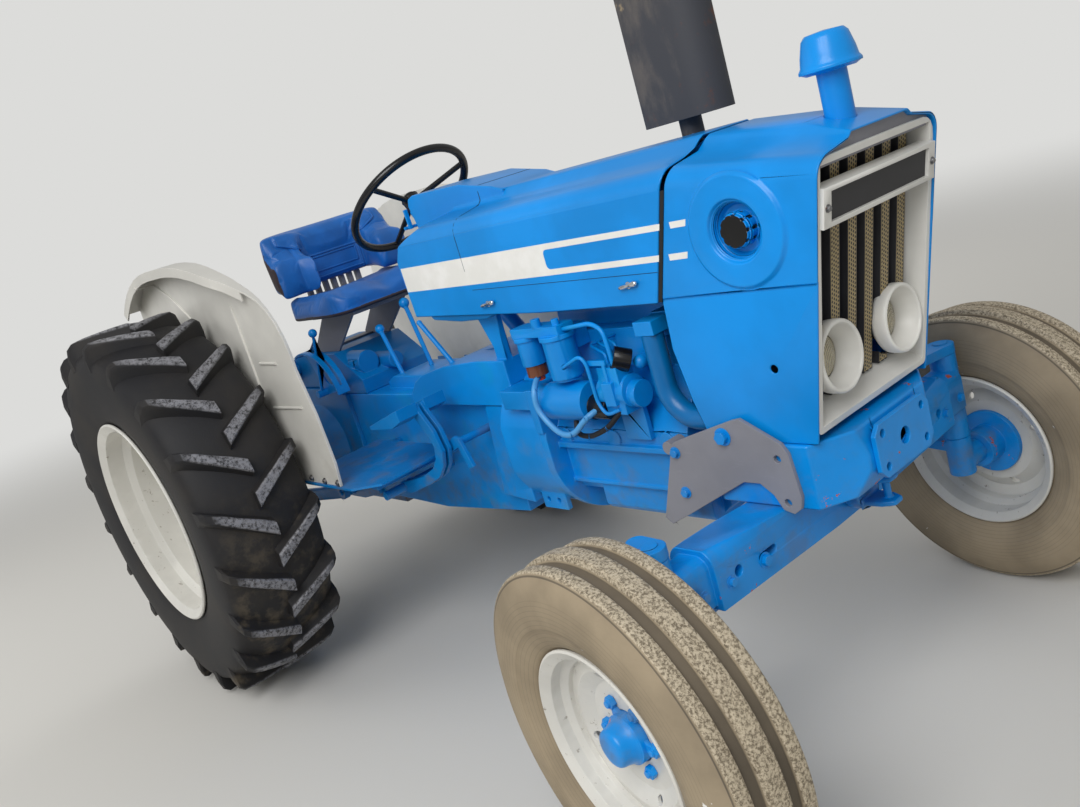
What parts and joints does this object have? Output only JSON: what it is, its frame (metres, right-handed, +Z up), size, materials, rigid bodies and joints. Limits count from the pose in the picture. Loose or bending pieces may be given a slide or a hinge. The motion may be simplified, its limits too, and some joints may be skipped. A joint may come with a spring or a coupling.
{
  "type": "tractor",
  "caption": "Vintage utility tractor with an open engine, shell fenders, lugged rear tyres, steerable front wheels and a rear lifting linkage.",
  "frame": {"origin": "middle of the bounding box at ground level", "axes": "+X forward, +Y to the driver's left, +Z up"},
  "size_m": [3.3512, 1.88, 2.06],
  "materials": {
    "paint_blue": "faded gloss",
    "paint_cream": "worn gloss",
    "paint_grey": "weathered",
    "rear_tyre_rubber": "dusty rubber",
    "front_tyre_rubber": "dusty rubber",
    "hose_rubber": "painted rubber",
    "grille_dark": "matte",
    "radiator_black": "matte",
    "exhaust_steel": "rusty",
    "wheel_black": "satin",
    "seat_vinyl": "vinyl"
  },
  "bodies": {
    "chassis": {"rear_axle": "paint_blue", "gearbox": "paint_blue", "engine": "paint_blue", "front_casting": "paint_blue", "front_plate": "paint_blue", "side_brackets": "paint_grey", "front_axle": "paint_blue", "hydraulics": "paint_blue", "quadrant": "paint_blue", "drawbar": "paint_grey", "engine_fittings": "paint_blue", "radiator": "radiator_black", "water_hose": "hose_rubber", "hood": "paint_blue", "fuel_tank": "paint_blue", "nose": "paint_blue", "grille_frame": "paint_cream", "grille_columns": "grille_dark", "headlamps": "paint_cream", "pre_cleaner": "paint_blue", "exhaust": "exhaust_steel", "steering_column": "paint_blue", "seat_support": "paint_grey", "seat_cushion": "seat_vinyl", "seat_backrest": "seat_vinyl", "fender_right": "paint_cream", "fender_left": "paint_cream", "footplates": "paint_blue"},
    "rear_wheel_right": {"rear_tyre_right": "rear_tyre_rubber", "rear_rim_right": "paint_cream"},
    "rear_wheel_left": {"rear_tyre_left": "rear_tyre_rubber", "rear_rim_left": "paint_cream"},
    "front_wheel_right": {"front_tyre_right": "front_tyre_rubber", "front_rim_right": "paint_cream", "front_hub_right": "paint_blue"},
    "front_wheel_left": {"front_tyre_left": "front_tyre_rubber", "front_rim_left": "paint_cream", "front_hub_left": "paint_blue"},
    "knuckle_right": {"knuckle_right": "paint_blue"},
    "knuckle_left": {"knuckle_left": "paint_blue"},
    "tie_rod": {"tie_rod": "paint_blue"},
    "drag_link": {"drag_link": "paint_grey"},
    "drop_arm": {"drop_arm": "paint_grey"},
    "steering_wheel": {"steering_wheel": "wheel_black"},
    "lift_arms": {"lift_arms": "paint_blue"},
    "lift_rod_right": {"lift_rod_right": "paint_blue"},
    "lift_rod_left": {"lift_rod_left": "paint_blue"},
    "lower_link_right": {"lower_link_right": "paint_blue"},
    "lower_link_left": {"lower_link_left": "paint_blue"}
  },
  "joints": [
    {"name": "rear_spin_right", "type": "hinge", "parent": "chassis", "child": "rear_wheel_right", "pos_m": [-0.9268, -0.751, 0.687], "axis": [0, 1, 0], "continuous": true},
    {"name": "front_spin_right", "type": "hinge", "parent": "knuckle_right", "child": "front_wheel_right", "pos_m": [1.2414, -0.74277, 0.397], "axis": [0.1305, 0.9914, 0], "continuous": true},
    {"name": "rear_spin_left", "type": "hinge", "parent": "chassis", "child": "rear_wheel_left", "pos_m": [-0.9268, 0.751, 0.687], "axis": [0, 1, 0], "continuous": true},
    {"name": "front_spin_left", "type": "hinge", "parent": "knuckle_left", "child": "front_wheel_left", "pos_m": [1.279, 0.74277, 0.397], "axis": [0.1305, 0.9914, 0], "continuous": true},
    {"name": "steer_left", "type": "hinge", "parent": "chassis", "child": "knuckle_left", "pos_m": [1.2602, 0.6, 0.47], "axis": [0, 0, 1], "range_deg": [-42.5, 57.5]},
    {"name": "steer_right", "type": "hinge", "parent": "chassis", "child": "knuckle_right", "pos_m": [1.2602, -0.6, 0.47], "axis": [0, 0, 1], "range_deg": [-42.51, 57.51]},
    {"name": "tie_rod_ball", "type": "hinge", "parent": "knuckle_left", "child": "tie_rod", "pos_m": [1.11148, 0.61958, 0.436], "axis": [0, 0, 1], "range_deg": [-57.51, 42.51]},
    {"name": "drag_link_ball", "type": "hinge", "parent": "knuckle_left", "child": "drag_link", "pos_m": [1.24584, 0.49094, 0.712], "axis": [0, 0, 1], "range_deg": [-57.51, 42.51]},
    {"name": "drop_arm_turn", "type": "hinge", "parent": "chassis", "child": "drop_arm", "pos_m": [0.2232, 0.232, 0.93], "axis": [0, 1, 0], "range_deg": [-40.6, 30.02]},
    {"name": "steering_wheel_turn", "type": "hinge", "parent": "chassis", "child": "steering_wheel", "pos_m": [-0.0858, 0, 1.497], "axis": [-0.6157, 0, 0.788], "range_deg": [-425.01, 575.01]},
    {"name": "lift", "type": "hinge", "parent": "chassis", "child": "lift_arms", "pos_m": [-1.0218, 0, 0.985], "axis": [0, 1, 0], "range_deg": [-22, 45]},
    {"name": "lower_link_swing_right", "type": "hinge", "parent": "chassis", "child": "lower_link_right", "pos_m": [-0.8868, -0.205, 0.48], "axis": [0, 1, 0], "range_deg": [-13.12, 26.83]},
    {"name": "lift_rod_swing_right", "type": "hinge", "parent": "lift_arms", "child": "lift_rod_right", "pos_m": [-1.27123, -0.207, 0.93198], "axis": [0, 1, 0], "range_deg": [-45.95, 22.47]},
    {"name": "lower_link_swing_left", "type": "hinge", "parent": "chassis", "child": "lower_link_left", "pos_m": [-0.8868, 0.205, 0.48], "axis": [0, 1, 0], "range_deg": [-13.12, 26.83]},
    {"name": "lift_rod_swing_left", "type": "hinge", "parent": "lift_arms", "child": "lift_rod_left", "pos_m": [-1.27123, 0.207, 0.93198], "axis": [0, 1, 0], "range_deg": [-45.95, 22.47]}
  ],
  "couplings": [
    {"joint": "steer_right", "follows": "steer_left", "ratio": 1},
    {"joint": "tie_rod_ball", "follows": "steer_left", "ratio": -1},
    {"joint": "drag_link_ball", "follows": "steer_left", "ratio": -1},
    {"joint": "drop_arm_turn", "follows": "steer_left", "ratio": -0.706},
    {"joint": "steering_wheel_turn", "follows": "steer_left", "ratio": 10},
    {"joint": "lower_link_swing_right", "follows": "lift", "ratio": 0.596},
    {"joint": "lift_rod_swing_right", "follows": "lift", "ratio": -1.021},
    {"joint": "lower_link_swing_left", "follows": "lift", "ratio": 0.596},
    {"joint": "lift_rod_swing_left", "follows": "lift", "ratio": -1.021}
  ]
}
